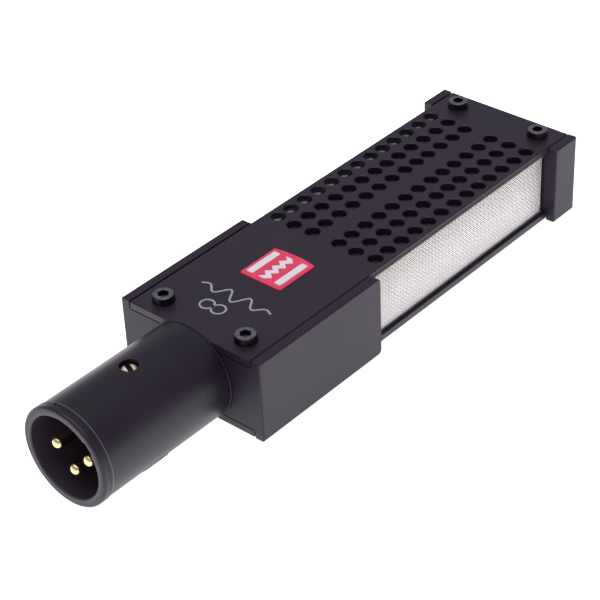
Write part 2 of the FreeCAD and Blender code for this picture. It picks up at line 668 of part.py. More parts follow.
def motor_frame():
    ring = slab(MOTOR_HALF_WIDTH, (MOTOR_START, MOTOR_END), (-MOTOR_HALF_DEPTH, MOTOR_HALF_DEPTH))
    corners = edges_where(ring, lambda x, y, z, run: abs(run.z) > 1)
    ring = ring.makeFillet(FRAME_CORNER, corners)
    cuts = [slab(RAIL_X, (WINDOW_START, WINDOW_END), THROUGH)]
    cuts.append(clamp_pocket(WINDOW_START - CLAMP_LENGTH - POCKET_END_GAP, WINDOW_START + 1))
    cuts.append(clamp_pocket(WINDOW_END - 1, WINDOW_END + CLAMP_LENGTH + POCKET_END_GAP))
    cuts.append(slab(FRAME_LEAD_SLOT, (MOTOR_START - 1, WINDOW_START), FRAME_LEAD_SLOT_Z))
    cuts.append(block((CLAMP_HALF_WIDTH, MOTOR_HALF_WIDTH + 1), lead_notch_y(), FRAME_NOTCH_Z))
    screw_hole = (MOTOR_START - 1, MOTOR_START + MOTOR_SCREW_REACH + MOTOR_HOLE_SPARE)
    for x in (-MOTOR_SCREW_X, MOTOR_SCREW_X):
        cuts.append(rod_y(MOTOR_SCREW_SHANK + THREAD_GAP, screw_hole, x))
    for x, y in resonator_screw_places():
        cuts.append(rod_z(RESONATOR_SCREW_SHANK + THREAD_GAP, THROUGH, x, y))
    return ring.cut(cuts)


def lead_notch_y():
    """Slot in the upper end bar through which the upper ribbon lead leaves."""
    return (WINDOW_END + FRAME_NOTCH_Y[0], WINDOW_END + FRAME_NOTCH_Y[1])


def magnet():
    return block(
        (POLE_BACK_X, RAIL_X), MAGNET_Y, (-MAGNET_DEPTH / 2, MAGNET_DEPTH / 2)
    )


def pole_piece():
    half = MAGNET_DEPTH / 2
    tip = POLE_TIP_HALF_DEPTH
    section = [(POLE_BACK_X, -half), (POLE_TIP_X, -tip), (POLE_TIP_X, tip), (POLE_BACK_X, half)]
    return outline(section, MAGNET_Y, "xz")


def ribbon():
    """Corrugated foil, free over the length of the window."""
    start = WINDOW_START + RIBBON_INSET
    free_length = WINDOW_END - RIBBON_INSET - start
    count = int(free_length / RIBBON_PLEAT)
    pleat = free_length / count
    lower = []
    for i in range(count + 1):
        z = RIBBON_WAVE if i % 2 else -RIBBON_WAVE
        if i in (0, count):
            z = 0.0
        lower.append((start + i * pleat, z - RIBBON_THICK / 2))
    upper = [(y, z + RIBBON_THICK) for y, z in reversed(lower)]
    return outline(lower + upper, (-RIBBON_WIDTH / 2, RIBBON_WIDTH / 2), "yz")


def ribbon_end(sign):
    """Flat end of the foil under its clamp bar. sign is -1 at the connector's end and 1 at the head's."""
    edge = WINDOW_START if sign < 0 else WINDOW_END
    inner = edge - sign * (RIBBON_INSET - RIBBON_GAP)
    outer = edge + sign * (CLAMP_LENGTH - CLAMP_INSET)
    ys = (min(inner, outer), max(inner, outer))
    return slab(RIBBON_WIDTH / 2, ys, (-RIBBON_THICK / 2, RIBBON_THICK / 2))


def clamp_span(sign, shrink):
    edge = WINDOW_START if sign < 0 else WINDOW_END
    far = edge + sign * (CLAMP_LENGTH - shrink)
    near = edge + sign * shrink
    return (min(near, far), max(near, far))


def clamp_block(sign):
    """Insulating block that carries one end of the foil."""
    zs = (-MOTOR_HALF_DEPTH + CLAMP_FLOOR, -RIBBON_THICK / 2)
    body = slab(CLAMP_HALF_WIDTH, clamp_span(sign, 0.0), zs)
    y = sum(clamp_span(sign, 0.0)) / 2
    radius = CLAMP_SCREW_SHANK + FIT_GAP
    return body.cut([rod_z(radius, THROUGH, x, y) for x in (-CLAMP_SCREW_X, CLAMP_SCREW_X)])


def clamp_bar(sign):
    bar = slab(CLAMP_HALF_WIDTH, clamp_span(sign, CLAMP_INSET), (RIBBON_THICK / 2, CLAMP_TOP))
    upper = edges_where(bar, lambda x, y, z, run: z > CLAMP_TOP - NEAR)
    bar = bar.makeFillet(CLAMP_BAR_ROUND, upper)
    y = sum(clamp_span(sign, CLAMP_INSET)) / 2
    return bar.cut([rod_z(CLAMP_BAR_HOLE, THROUGH, x, y) for x in (-CLAMP_SCREW_X, CLAMP_SCREW_X)])


def small_screw(x, y, seat, length, shank_radius):
    """Slotted pan head screw, head towards the front, seated at z = seat."""
    top = seat + SMALL_HEAD_HEIGHT
    head = rod_z(SMALL_HEAD_RADIUS, (seat, top), x, y)
    crown = edges_where(head, lambda a, b, z, run: z > top - NEAR)
    head = head.makeFillet(SMALL_HEAD_ROUND, crown)
    shank = rod_z(shank_radius, (seat - length, seat + OVERLAP), x, y)
    reach = 2 * SMALL_HEAD_RADIUS
    half = SMALL_SLOT / 2
    slot = block((x - reach, x + reach), (y - half, y + half), (top - SMALL_SLOT_DEPTH, top + 1))
    return join([head, shank]).cut(slot)


def clamp_screws():
    screws = []
    for sign in (-1, 1):
        y = sum(clamp_span(sign, 0.0)) / 2
        for x in (-CLAMP_SCREW_X, CLAMP_SCREW_X):
            screws.append(small_screw(x, y, CLAMP_TOP, CLAMP_SCREW_LENGTH, CLAMP_SCREW_SHANK))
    return group(screws)


def resonator_screw_places():
    ys = (MOTOR_START + RESONATOR_SCREW_INSET, MOTOR_END - RESONATOR_SCREW_INSET)
    return [(x, y) for x in (-RESONATOR_SCREW_X, RESONATOR_SCREW_X) for y in ys]


def front_resonator():
    """Slotted plate in front of the ribbon."""
    ys = (MOTOR_START + RESONATOR_INSET, MOTOR_END - RESONATOR_INSET)
    zs = (MOTOR_HALF_DEPTH, MOTOR_HALF_DEPTH + RESONATOR_THICK)
    plate = slab(MOTOR_HALF_WIDTH - RESONATOR_SIDE_INSET, ys, zs)
    corners = edges_where(plate, lambda x, y, z, run: abs(run.z) > 0.1)
    plate = plate.makeFillet(RESONATOR_CORNER, corners)
    pitch = (WINDOW_END - WINDOW_START) / RESONATOR_SLOTS
    through = (MOTOR_HALF_DEPTH - 1, MOTOR_HALF_DEPTH + 1)
    half_slot = pitch * RESONATOR_SLOT_SHARE / 2
    cuts = []
    for i in range(RESONATOR_SLOTS):
        middle = WINDOW_START + (i + 0.5) * pitch
        cuts.append(slab(RESONATOR_SLOT_HALF_WIDTH, (middle - half_slot, middle + half_slot), through))
    hole = RESONATOR_SCREW_SHANK + RESONATOR_HOLE_GAP
    cuts += [rod_z(hole, through, x, y) for x, y in resonator_screw_places()]
    return plate.cut(cuts)


def resonator_screws():
    seat = MOTOR_HALF_DEPTH + RESONATOR_THICK
    front = []
    for x, y in resonator_screw_places():
        front.append(small_screw(x, y, seat, RESONATOR_SCREW_LENGTH, RESONATOR_SCREW_SHANK))
    return group(front + [turned_over(screw) for screw in front])


def motor_pad(ys):
    """Rubber pad between the motor and the body."""
    depth = MOTOR_HALF_DEPTH - PAD_FACE_INSET
    pad = slab(MOTOR_HALF_WIDTH - PAD_SIDE_INSET, ys, (-depth, depth))
    through = (ys[0] - 1, ys[1] + 1)
    cuts = [rod_y(MOTOR_SCREW_HOLE, through, x) for x in (-MOTOR_SCREW_X, MOTOR_SCREW_X)]
    cuts.append(rod_y(WEB_LEAD_HOLE, through))
    return pad.cut(cuts)


def motor_screws():
    """Slotted screws through the housing's web and the lower pad into the motor's frame."""
    seat = HOUSING_LENGTH - WEB
    top = seat - MOTOR_SCREW_HEAD_HEIGHT
    half = MOTOR_SCREW_SLOT / 2
    screws = []
    for x in (-MOTOR_SCREW_X, MOTOR_SCREW_X):
        head = rod_y(MOTOR_SCREW_HEAD, (top, seat), x)
        rim = edges_where(head, lambda a, y, c, run: y < top + NEAR)
        head = head.makeFillet(MOTOR_SCREW_ROUND, rim)
        shank = rod_y(MOTOR_SCREW_SHANK, (seat - OVERLAP, MOTOR_START + MOTOR_SCREW_REACH), x)
        slot = block((x - half, x + half), (top - 1, top + MOTOR_SCREW_SLOT_DEPTH), THROUGH)
        screws.append(join([head, shank]).cut(slot))
    return group(screws)


def transformer_core():
    low, high = CORE_Y
    core = slab(CORE_WIDTH / 2, (low, high), (-CORE_DEPTH / 2, CORE_DEPTH / 2))
    windows = []
    for side in (-1, 1):
        inner = side * CORE_LIMB
        outer = side * (CORE_WIDTH / 2 - CORE_LIMB)
        xs = (min(inner, outer), max(inner, outer))
        windows.append(block(xs, (low + CORE_YOKE, high - CORE_YOKE), THROUGH))
    return core.cut(windows)


def bobbin_tube(inner, wall, ys):
    """Rectangular tube round the core's middle limb, a gap of inner away from it."""
    x = CORE_LIMB + inner
    z = CORE_DEPTH / 2 + inner
    return slab(x + wall, ys, (-z - wall, z + wall)).cut(slab(x, (ys[0] - 1, ys[1] + 1), (-z, z)))


def transformer_bobbin():
    low = CORE_Y[0] + CORE_YOKE + CORE_GAP
    high = CORE_Y[1] - CORE_YOKE - CORE_GAP
    tube = bobbin_tube(CORE_GAP, BOBBIN_WALL, (low, high))
    near = bobbin_tube(CORE_GAP, BOBBIN_FLANGE, (low, low + BOBBIN_WALL))
    far = bobbin_tube(CORE_GAP, BOBBIN_FLANGE, (high - BOBBIN_WALL, high))
    return join([tube, near, far])


def winding_span():
    low = CORE_Y[0] + CORE_YOKE + CORE_GAP + BOBBIN_WALL
    high = CORE_Y[1] - CORE_YOKE - CORE_GAP - BOBBIN_WALL
    return (low, high)


def transformer_winding():
    return bobbin_tube(CORE_GAP + BOBBIN_WALL, WINDING_THICK, winding_span())


def transformer_tape():
    return bobbin_tube(CORE_GAP + BOBBIN_WALL + WINDING_THICK, TAPE_THICK, winding_span())


def transformer_pads():
    """Foam strips between the core's outer limbs and the plates, two in front and two behind."""
    outer = CORE_WIDTH / 2 - FOAM_INSET
    front = block((outer - FOAM_WIDTH, outer), CORE_Y, (CORE_DEPTH / 2, PLATE_FLOOR))
    pads = [front, mirrored(front)]
    return group(pads + [turned_over(pad) for pad in pads])


def lower_ribbon_lead():
    clamp_edge = clamp_span(-1, CLAMP_INSET)[0]
    flange = CORE_Y[1] - CORE_YOKE
    x = LOWER_LEAD_X
    low, high = LOWER_LEAD_Z
    turn = LOWER_LEAD_TURN
    route = [(x, clamp_edge, low), (x, turn, low), (x, turn, high), (x, flange + CORE_GAP, high)]
    return lead(route, FINE_LEAD_RADIUS, FINE_LEAD_BEND)


def upper_ribbon_lead():
    notch = sum(lead_notch_y()) / 2
    flange = CORE_Y[1] - CORE_YOKE
    low = UPPER_LEAD_Z + UPPER_LEAD_RISE
    high = UPPER_LEAD_Z_FAR
    turn = UPPER_LEAD_TURN
    x = UPPER_LEAD_END_X
    route = [
        (CLAMP_HALF_WIDTH, notch, low), (UPPER_LEAD_X, notch, low), (UPPER_LEAD_X, turn, low),
        (x, turn, high), (x, flange + CORE_GAP, high),
    ]
    return lead(route, FINE_LEAD_RADIUS, FINE_LEAD_BEND)


def output_lead(pin, across, over):
    """Lead from a contact's solder cup over the core's yoke to the bobbin's near flange."""
    x, z = pin
    cup = INSERT_BACK + LEAD_SUNK
    flange = CORE_Y[0] + CORE_YOKE
    leave = SPIGOT_LENGTH + OUTPUT_LEAD_LEAVE
    arrive = SPIGOT_LENGTH + OUTPUT_LEAD_ARRIVE
    route = [(x, cup, z), (x, leave, z), (across, arrive, over), (across, flange, over)]
    return lead(route, LEAD_RADIUS, LEAD_BEND)


def ground_lead():
    """Lead from contact 1 to the ground tag."""
    x, z = pin_places()[0]
    cup = INSERT_BACK + LEAD_SUNK
    turn = SPIGOT_LENGTH + GROUND_LEAD_TURN
    route = [(x, cup, z), (x, turn, z), (GROUND_LEAD_X, turn, z), (GROUND_LEAD_X, END_WALL + TAG_THICK, z)]
    return lead(route, LEAD_RADIUS, LEAD_BEND)


def nodes():
    plate_screws = front_plate_screws()
    screen = front_screen()
    mesh = side_mesh()
    resonator = front_resonator()
    pins = pin_places()
    return {
        "housing": housing(),
        "head_block": head_block(),
        "front_plate": front_plate(),
        "back_plate": turned_over(bare_plate()),
        "front_plate_screws": plate_screws,
        "back_plate_screws": turned_over(plate_screws),
        "right_side_mesh": mesh,
        "left_side_mesh": mirrored(mesh),
        "front_screen": screen,
        "back_screen": turned_over(screen),
        "badge": badge(),
        "badge_emblem": badge_emblem(),
        "stem": stem(),
        "stem_nut": stem_nut(),
        "stem_label": stem_label(),
        "ground_tag": ground_tag(),
        "connector_insert": connector_insert(),
        "contact_pin_1": contact_pin(*pins[0]),
        "contact_pin_2": contact_pin(*pins[1]),
        "contact_pin_3": contact_pin(*pins[2]),
        "lock_screw": lock_screw(),
        "motor_frame": motor_frame(),
        "magnet_right": magnet(),
        "magnet_left": mirrored(magnet()),
        "pole_piece_right": pole_piece(),
        "pole_piece_left": mirrored(pole_piece()),
        "ribbon": ribbon(),
        "ribbon_end_lower": ribbon_end(-1),
        "ribbon_end_upper": ribbon_end(1),
        "lower_clamp_block": clamp_block(-1),
        "upper_clamp_block": clamp_block(1),
        "lower_clamp_bar": clamp_bar(-1),
        "upper_clamp_bar": clamp_bar(1),
        "clamp_screws": clamp_screws(),
        "front_resonator": resonator,
        "back_resonator": turned_over(resonator),
        "resonator_screws": resonator_screws(),
        "lower_motor_pad": motor_pad((CHAMBER_START, MOTOR_START)),
        "upper_motor_pad": motor_pad((MOTOR_END, CHAMBER_END)),
        "motor_screws": motor_screws(),
        "transformer_core": transformer_core(),
        "transformer_bobbin": transformer_bobbin(),
        "transformer_winding": transformer_winding(),
        "transformer_tape": transformer_tape(),
        "transformer_pads": transformer_pads(),
        "lower_ribbon_lead": lower_ribbon_lead(),
        "upper_ribbon_lead": upper_ribbon_lead(),
        "hot_lead": output_lead(pins[1], HOT_LEAD_X, OUTPUT_LEAD_Z),
        "cold_lead": output_lead(pins[2], 0.0, -OUTPUT_LEAD_Z),
        "ground_lead": ground_lead(),
    }


os.makedirs("parts", exist_ok=True)
for name, shape in nodes().items():
    shape.exportStep("parts/" + name + ".step")
    print(name, len(shape.Solids), round(sum(s.Volume for s in shape.Solids), 2), shape.isValid())
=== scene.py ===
import json
import math

import bmesh
import bpy
import numpy as np
from mathutils import Matrix, Vector


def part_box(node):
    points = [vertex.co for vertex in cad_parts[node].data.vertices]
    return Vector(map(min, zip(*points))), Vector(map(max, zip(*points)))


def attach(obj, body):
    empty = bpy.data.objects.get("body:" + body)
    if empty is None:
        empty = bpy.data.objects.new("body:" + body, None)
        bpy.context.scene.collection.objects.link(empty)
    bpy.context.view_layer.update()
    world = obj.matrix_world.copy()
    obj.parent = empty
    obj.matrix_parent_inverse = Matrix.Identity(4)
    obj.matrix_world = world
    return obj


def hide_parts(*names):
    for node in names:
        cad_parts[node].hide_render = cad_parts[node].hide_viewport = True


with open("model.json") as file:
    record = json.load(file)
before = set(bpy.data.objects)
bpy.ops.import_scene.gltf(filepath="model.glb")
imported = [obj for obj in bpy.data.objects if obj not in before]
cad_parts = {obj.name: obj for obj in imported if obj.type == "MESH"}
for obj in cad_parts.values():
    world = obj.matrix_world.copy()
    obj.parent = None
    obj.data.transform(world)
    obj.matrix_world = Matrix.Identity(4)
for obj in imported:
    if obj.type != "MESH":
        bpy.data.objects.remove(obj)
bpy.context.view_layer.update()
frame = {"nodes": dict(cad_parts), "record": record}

# Looks of the ribbon microphone. Metres, in the CAD frame: +Y runs from the connector's mouth to the head,
# +Z is out of the front plate, +X is to the right. The microphone lies on the floor at z = 0.

MM = 0.001

# Camera
CAMERA_AZIMUTH = math.radians(42.165)
CAMERA_ELEVATION = math.radians(35.054)
CAMERA_ROLL = math.radians(-2.706)
CAMERA_DISTANCE = 361.7 * MM
CAMERA_TARGET = Vector((-0.51, -2.45, 7.96)) * MM
CAMERA_LENS = 113.23
CAMERA_SENSOR = 36.0
CAMERA_NEAR = 0.01
CAMERA_FAR = 20.0

# Socket of the stem: its axis lies level, in the plane x = 0
AXIS_HEIGHT = 10.05 * MM
BORE_RADIUS = 9.0 * MM
# Painted light: a lighter coat inside the bore, for the light on the socket's walls
SOCKET_PAINTED_LIGHT = (0.038, 0.029, 0.044)
RING_LENGTH = 2.2 * MM
# Painted highlight: a light grey line along the ring's rear edge
RING_PAINTED_HIGHLIGHT = (0.13, 0.125, 0.14)

# Woven side meshes
WIRE_PITCH = 0.46 * MM
LONG_RADIUS = 0.14 * MM
LONG_WAVE = 0.03 * MM
CROSS_RADIUS = 0.09 * MM
CROSS_WAVE = 0.05 * MM
WIRE_SIDES = 5
WIRE_FLAT = 0.22 * WIRE_PITCH   # half of the straight stretch at a crossing

# Cloth behind the side meshes and under the plates
CLOTH_PITCH = 0.25 * MM
CLOTH_THICK = 0.04 * MM
CLOTH_GAP = 0.04 * MM
CLOTH_RELIEF = 0.01 * MM
SCREEN_REACH = 13.28 * MM
SCREEN_RELIEF = 0.04 * MM

# Edges of the side meshes, folded in under the plates; FLANGE_START is from the plane x = 0
FLANGE_START = 12.5 * MM
FLANGE_GAP = 0.005 * MM
FLANGE_THICK = 0.04 * MM

# Plates: painted shade, a darker colour with a dullness added to the roughness, on the front plate's sides
# below a bright line along their upper edge, and on the plates' inner faces.
BRIGHT_LINE = 0.36 * MM
SIDE_SHADE_GREY = (0.020, 0.015, 0.016)
SIDE_SHADE_DULLNESS = 0.3
INNER_SHADE_GREY = (0.004, 0.003, 0.005)
INNER_SHADE_DULLNESS = 0.52

# Slot of the lock screw: painted shade makes it fully dark from SLOT_SHADE_START under the screw's top
SLOT_SHADE_START = 0.3 * MM
SLOT_SHADE_END = 0.06 * MM
SLOT_SHADE_BROWN = (0.055, 0.022, 0.004)

METAL_GRAIN = 0.15 * MM

# Printed marking on the front plate, between the badge and the connector end's screws
PRINT_THICK = 0.03 * MM
PRINT_SUNK = 0.02 * MM
PRINT_LINE = 0.38 * MM
WAVE_Y = 12.7 * MM           # from the plate's lower end
WAVE_LENGTH = 17.0 * MM
WAVE_HEIGHT = 1.5 * MM
WAVE_COUNT = 3.5
WAVE_STEPS = 120
WAVE_TAPER = 0.7
PATTERN_X = -1.5 * MM
PATTERN_Y = 8.1 * MM         # from the plate's lower end
PATTERN_RADIUS = 1.4 * MM
PATTERN_STEPS = 48

# Stage
FLOOR_HALF = 3.0
SOFT_BOX_PLACE = (0.0, -0.12, 0.75)
SOFT_BOX_WIDTH = 0.85
SOFT_BOX_LENGTH = 0.5
SOFT_BOX_POWER = 3.0
SURROUND = (0.985, 0.93, 1.04, 1.0)
SURROUND_STRENGTH = 0.42

SIDES = (("right", 1), ("left", -1))
FACES = (("front", 1), ("back", -1))


# ---------------------------------------------------------------- shader nodes


def add(tree, kind, inputs=None, **settings):
    """Adds a node. inputs maps an input's name or number to a value or to another node's output."""
    node = tree.nodes.new(kind)
    for name, value in settings.items():
        setattr(node, name, value)
    for name, value in (inputs or {}).items():
        if isinstance(value, bpy.types.NodeSocket):
            tree.links.new(value, node.inputs[name])
        else:
            node.inputs[name].default_value = value
    return node


def new_material(name):
    """A material with only a Principled shader, and its tree and shader."""
    material = bpy.data.materials.new(name)
    material.use_nodes = True
    return material, material.node_tree, material.node_tree.nodes["Principled BSDF"]


def place(tree):
    """A point's place on the object, in metres."""
    return add(tree, "ShaderNodeTexCoord").outputs["Object"]


def stretched(tree, vector, scale):
    """The place with its axes scaled, for grain that runs one way."""
    return add(tree, "ShaderNodeMapping", {"Vector": vector, "Scale": scale}).outputs["Vector"]


def noise(tree, vector, size, detail=2.0, roughness=0.5):
    """Smooth noise from 0 to 1 with features of that size in metres."""
    node = add(tree, "ShaderNodeTexNoise", {"Vector": vector, "Scale": 1 / size, "Detail": detail})
    node.inputs["Roughness"].default_value = roughness
    return node.outputs["Fac"]


def remap(tree, value, low, high, to_low, to_high):
    """The value's stretch from low to high, moved to to_low to to_high, and clamped."""
    node = add(tree, "ShaderNodeMapRange", {
        "Value": value, "From Min": low, "From Max": high, "To Min": to_low, "To Max": to_high,
    })
    return node.outputs["Result"]


def math_node(tree, operation, a, b=0.0):
    """Result of that operation on a and b."""
    return add(tree, "ShaderNodeMath", {0: a, 1: b}, operation=operation).outputs["Value"]


def colours(tree, factor, *stops):
    """Colour ramp through (position, colour) stops."""
    node = add(tree, "ShaderNodeValToRGB", {"Fac": factor})
    ramp = node.color_ramp
    while len(ramp.elements) < len(stops):
        ramp.elements.new(0.5)
    for element, (position, colour) in zip(ramp.elements, stops):
        element.position = position
        element.color = (*colour, 1.0)
    return node.outputs["Color"]


def mixed(tree, factor, a, b):
    """Colour a where the factor is 0 and colour b where it is 1."""
    a = a if isinstance(a, bpy.types.NodeSocket) else (*a, 1.0)
    b = b if isinstance(b, bpy.types.NodeSocket) else (*b, 1.0)
    node = add(tree, "ShaderNodeMix", {0: factor, 6: a, 7: b}, data_type="RGBA")
    return node.outputs[2]


def bump(tree, height, distance, strength=1.0, normal=None):
    """Relief of that depth in metres for a height from 0 to 1."""
    inputs = {"Height": height, "Distance": distance, "Strength": strength}
    if normal is not None:
        inputs["Normal"] = normal
    return add(tree, "ShaderNodeBump", inputs).outputs["Normal"]


def scaled(colour, factor):
    """The colour with each channel multiplied."""
    return tuple(channel * factor for channel in colour)


def finish_shader(tree, shader, colour, roughness, normal, **constants):
    """Links the three patterned inputs and sets the constant ones."""
    tree.links.new(colour, shader.inputs["Base Color"])
    tree.links.new(roughness, shader.inputs["Roughness"])
    if normal is not None:
        tree.links.new(normal, shader.inputs["Normal"])
    for name, value in constants.items():
        shader.inputs[name.replace("_", " ")].default_value = value


# ---------------------------------------------------------------- materials


def inside_bore(tree, where):
    """Mask of the painted light in the socket: 1 within the socket's wall round the stem's axis, 0 outside
    it.
    """
    split = add(tree, "ShaderNodeSeparateXYZ", {"Vector": where})
    up = math_node(tree, "SUBTRACT", split.outputs["Z"], AXIS_HEIGHT)
    square = math_node(tree, "ADD", math_node(tree, "POWER", up, 2.0),
                       math_node(tree, "POWER", split.outputs["X"], 2.0))
    radius = math_node(tree, "SQRT", square)
    return remap(tree, radius, BORE_RADIUS - 0.1 * MM, BORE_RADIUS, 1.0, 0.0)


def ring_highlight_mask(tree, where):
    """Mask of the painted highlight: 1 along the rear edge of the stem's ring, fading to 0 on either side
    of it.
    """
    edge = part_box("stem")[0].y + RING_LENGTH - 0.09 * MM
    along = add(tree, "ShaderNodeSeparateXYZ", {"Vector": where}).outputs["Y"]
    away = math_node(tree, "ABSOLUTE", math_node(tree, "SUBTRACT", along, edge))
    return remap(tree, away, 0.05 * MM, 0.16 * MM, 1.0, 0.0)


def shaded_side_mask(tree, where):
    """Mask of the painted shade: 1 on the front plate's long side faces, below a bright line along their
    upper edge, 0 elsewhere.
    """
    low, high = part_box("front_plate")
    split = add(tree, "ShaderNodeSeparateXYZ", {"Vector": where})
    aside = math_node(tree, "ABSOLUTE", split.outputs["X"])
    side = remap(tree, aside, high.x - 0.04 * MM, high.x - 0.01 * MM, 0.0, 1.0)
    line = high.z - BRIGHT_LINE
    below = remap(tree, split.outputs["Z"], line - 0.1 * MM, line, 1.0, 0.0)
    above = remap(tree, split.outputs["Z"], low.z - 0.1 * MM, low.z, 0.0, 1.0)
    return math_node(tree, "MULTIPLY", side, math_node(tree, "MULTIPLY", below, above))


def inner_face(tree, where):
    """Mask of the painted shade: 1 on the plates' inner faces, 0 elsewhere."""
    split = add(tree, "ShaderNodeSeparateXYZ", {"Vector": where})
    off_axis = math_node(tree, "ABSOLUTE", math_node(tree, "SUBTRACT", split.outputs["Z"], AXIS_HEIGHT))
    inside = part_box("front_plate")[0].z - AXIS_HEIGHT
    return remap(tree, off_axis, inside + 0.01 * MM, inside + 0.05 * MM, 1.0, 0.0)


def powder_coat(name, colour, roughness, specular, grain=0.09 * MM, depth=0.012 * MM, kind=""):
    """Fine satin powder coat: pinhead grain over a soft orange peel, with faint mottling.

    On the stem it has painted light, a lighter coat inside the socket, and a painted highlight along the
    ring's rear edge. On the plates it has painted shade, darker and duller inside and on the front plate's
    long sides.
    """
    material, tree, shader = new_material(name)
    where = place(tree)
    fine = noise(tree, where, grain, 3.0, 0.6)
    peel = noise(tree, where, 0.55 * MM, 2.0, 0.5)
    mottle = noise(tree, where, 9 * MM, 3.0, 0.55)
    base = colours(tree, mottle, (0.3, scaled(colour, 0.9)), (0.7, scaled(colour, 1.12)))
    speck = remap(tree, fine, 0.62, 0.8, 0.0, 0.5)
    base = mixed(tree, speck, base, scaled(colour, 1.9))
    if kind == "stem":
        # Painted highlight along the ring's rear edge, and painted light inside the socket's bore
        base = mixed(tree, ring_highlight_mask(tree, where), base, RING_PAINTED_HIGHLIGHT)
        base = mixed(tree, inside_bore(tree, where), base, SOCKET_PAINTED_LIGHT)
    rough = remap(tree, mottle, 0.3, 0.7, roughness - 0.03, roughness + 0.03)
    rough = math_node(tree, "ADD", rough, remap(tree, fine, 0.3, 0.7, -0.04, 0.04))
    if kind == "plate":
        # Painted shade: a darker colour and more roughness on the front plate's sides below the bright
        # line, and on the inner faces
        side_shade = shaded_side_mask(tree, where)
        base = mixed(tree, side_shade, base, SIDE_SHADE_GREY)
        rough = math_node(tree, "ADD", rough, math_node(tree, "MULTIPLY", side_shade, SIDE_SHADE_DULLNESS))
        inner = inner_face(tree, where)
        base = mixed(tree, inner, base, INNER_SHADE_GREY)
        rough = math_node(tree, "ADD", rough, math_node(tree, "MULTIPLY", inner, INNER_SHADE_DULLNESS))
    normal = bump(tree, peel, 0.02 * MM, 0.25)
    normal = bump(tree, fine, depth, 0.5, normal)
    finish_shader(tree, shader, base, rough, normal, Specular_IOR_Level=specular)
    return material


def black_oxide(name):
    """Blackened steel screws, painted lighter grey on the faces that look along z, a painted highlight on
    the head tops.
    """
    material, tree, shader = new_material(name)
    where = place(tree)
    fine = noise(tree, where, 0.12 * MM, 3.0, 0.6)
    patches = noise(tree, where, 1.1 * MM, 3.0, 0.55)
    facing = add(tree, "ShaderNodeNewGeometry").outputs["True Normal"]
    along = math_node(tree, "ABSOLUTE", add(tree, "ShaderNodeSeparateXYZ", {"Vector": facing}).outputs["Z"])
    painted_top_light = remap(tree, along, 0.55, 0.95, 0.0, 1.0)
    black = colours(tree, patches, (0.3, (0.012, 0.010, 0.014)), (0.7, (0.022, 0.019, 0.025)))
    grey = colours(tree, patches, (0.3, (0.15, 0.145, 0.17)), (0.7, (0.21, 0.205, 0.235)))
    grey = mixed(tree, remap(tree, fine, 0.6, 0.8, 0.0, 0.6), grey, (0.32, 0.315, 0.34))
    # Painted highlight: the faces that look along z get the lighter grey
    base = mixed(tree, painted_top_light, black, grey)
    rough = remap(tree, patches, 0.3, 0.7, 0.36, 0.48)
    finish_shader(tree, shader, base, rough, bump(tree, fine, 0.006 * MM, 0.5), Metallic=0.85)
    return material


def bright_metal(name, colour, roughness, grain_scale=(1.0, 1.0, 1.0), depth=0.003 * MM):
    """Bare or plated metal. grain_scale under 1 along an axis stretches its marks along that axis."""
    material, tree, shader = new_material(name)
    where = place(tree)
    marks = noise(tree, stretched(tree, where, grain_scale), METAL_GRAIN, 4.0, 0.6)
    tarnish = noise(tree, where, 2.5 * MM, 3.0, 0.55)
    base = colours(tree, tarnish, (0.3, scaled(colour, 0.86)), (0.7, colour))
    base = mixed(tree, remap(tree, marks, 0.35, 0.65, 0.0, 0.25), base, scaled(colour, 0.7))
    rough = remap(tree, marks, 0.3, 0.7, roughness - 0.04, roughness + 0.06)
    finish_shader(tree, shader, base, rough, bump(tree, marks, depth, 0.6), Metallic=1.0)
    return material


def slotted_brass(name):
    """Turned brass of the lock screw, bright on its face, with dark brown painted shade below it, in its
    slot.
    """
    material, tree, shader = new_material(name)
    where = place(tree)
    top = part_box("lock_screw")[1].z
    turned = noise(tree, where, 0.1 * MM, 3.0, 0.6)
    up = add(tree, "ShaderNodeSeparateXYZ", {"Vector": where}).outputs["Z"]
    face = remap(tree, up, top - SLOT_SHADE_START, top - SLOT_SHADE_END, 0.0, 1.0)
    base = colours(tree, turned, (0.3, (0.97, 0.88, 0.72)), (0.7, (1.0, 0.95, 0.83)))
    # Painted shade: dark brown below the screw's face, in its slot
    base = mixed(tree, face, SLOT_SHADE_BROWN, base)
    rough = remap(tree, turned, 0.3, 0.7, 0.16, 0.26)
    finish_shader(tree, shader, base, rough, bump(tree, turned, 0.002 * MM, 0.6), Metallic=0.25)
    return material


def moulded_plastic(name, colour, roughness, depth=0.008 * MM):
    """Moulded plastic with a fine eroded skin."""
    material, tree, shader = new_material(name)
    where = place(tree)
    skin = noise(tree, where, 0.14 * MM, 3.0, 0.6)
    flow = noise(tree, where, 4 * MM, 2.0, 0.5)
    base = colours(tree, flow, (0.3, scaled(colour, 0.88)), (0.7, scaled(colour, 1.1)))
    rough = remap(tree, skin, 0.3, 0.7, roughness - 0.05, roughness + 0.05)
    finish_shader(tree, shader, base, rough, bump(tree, skin, depth, 0.5))
    return material


def soft_rubber(name, colour, cell):
    """Rubber or closed cell foam. cell is the size of its cells or grain."""
    material, tree, shader = new_material(name)
    where = place(tree)
    cells = add(tree, "ShaderNodeTexVoronoi", {"Vector": where, "Scale": 1 / cell}).outputs["Distance"]
    dust = noise(tree, where, 1.5 * MM, 3.0, 0.6)
    base = colours(tree, dust, (0.35, scaled(colour, 0.8)), (0.75, scaled(colour, 1.5)))
    # Painted shade: darker in the pits of the cells
    base = mixed(tree, remap(tree, cells, 0.0, 0.6, 0.5, 0.0), base, scaled(colour, 0.4))
    rough = remap(tree, dust, 0.3, 0.7, 0.78, 0.92)
    finish_shader(tree, shader, base, rough, bump(tree, cells, cell * 0.4, 0.6))
    return material


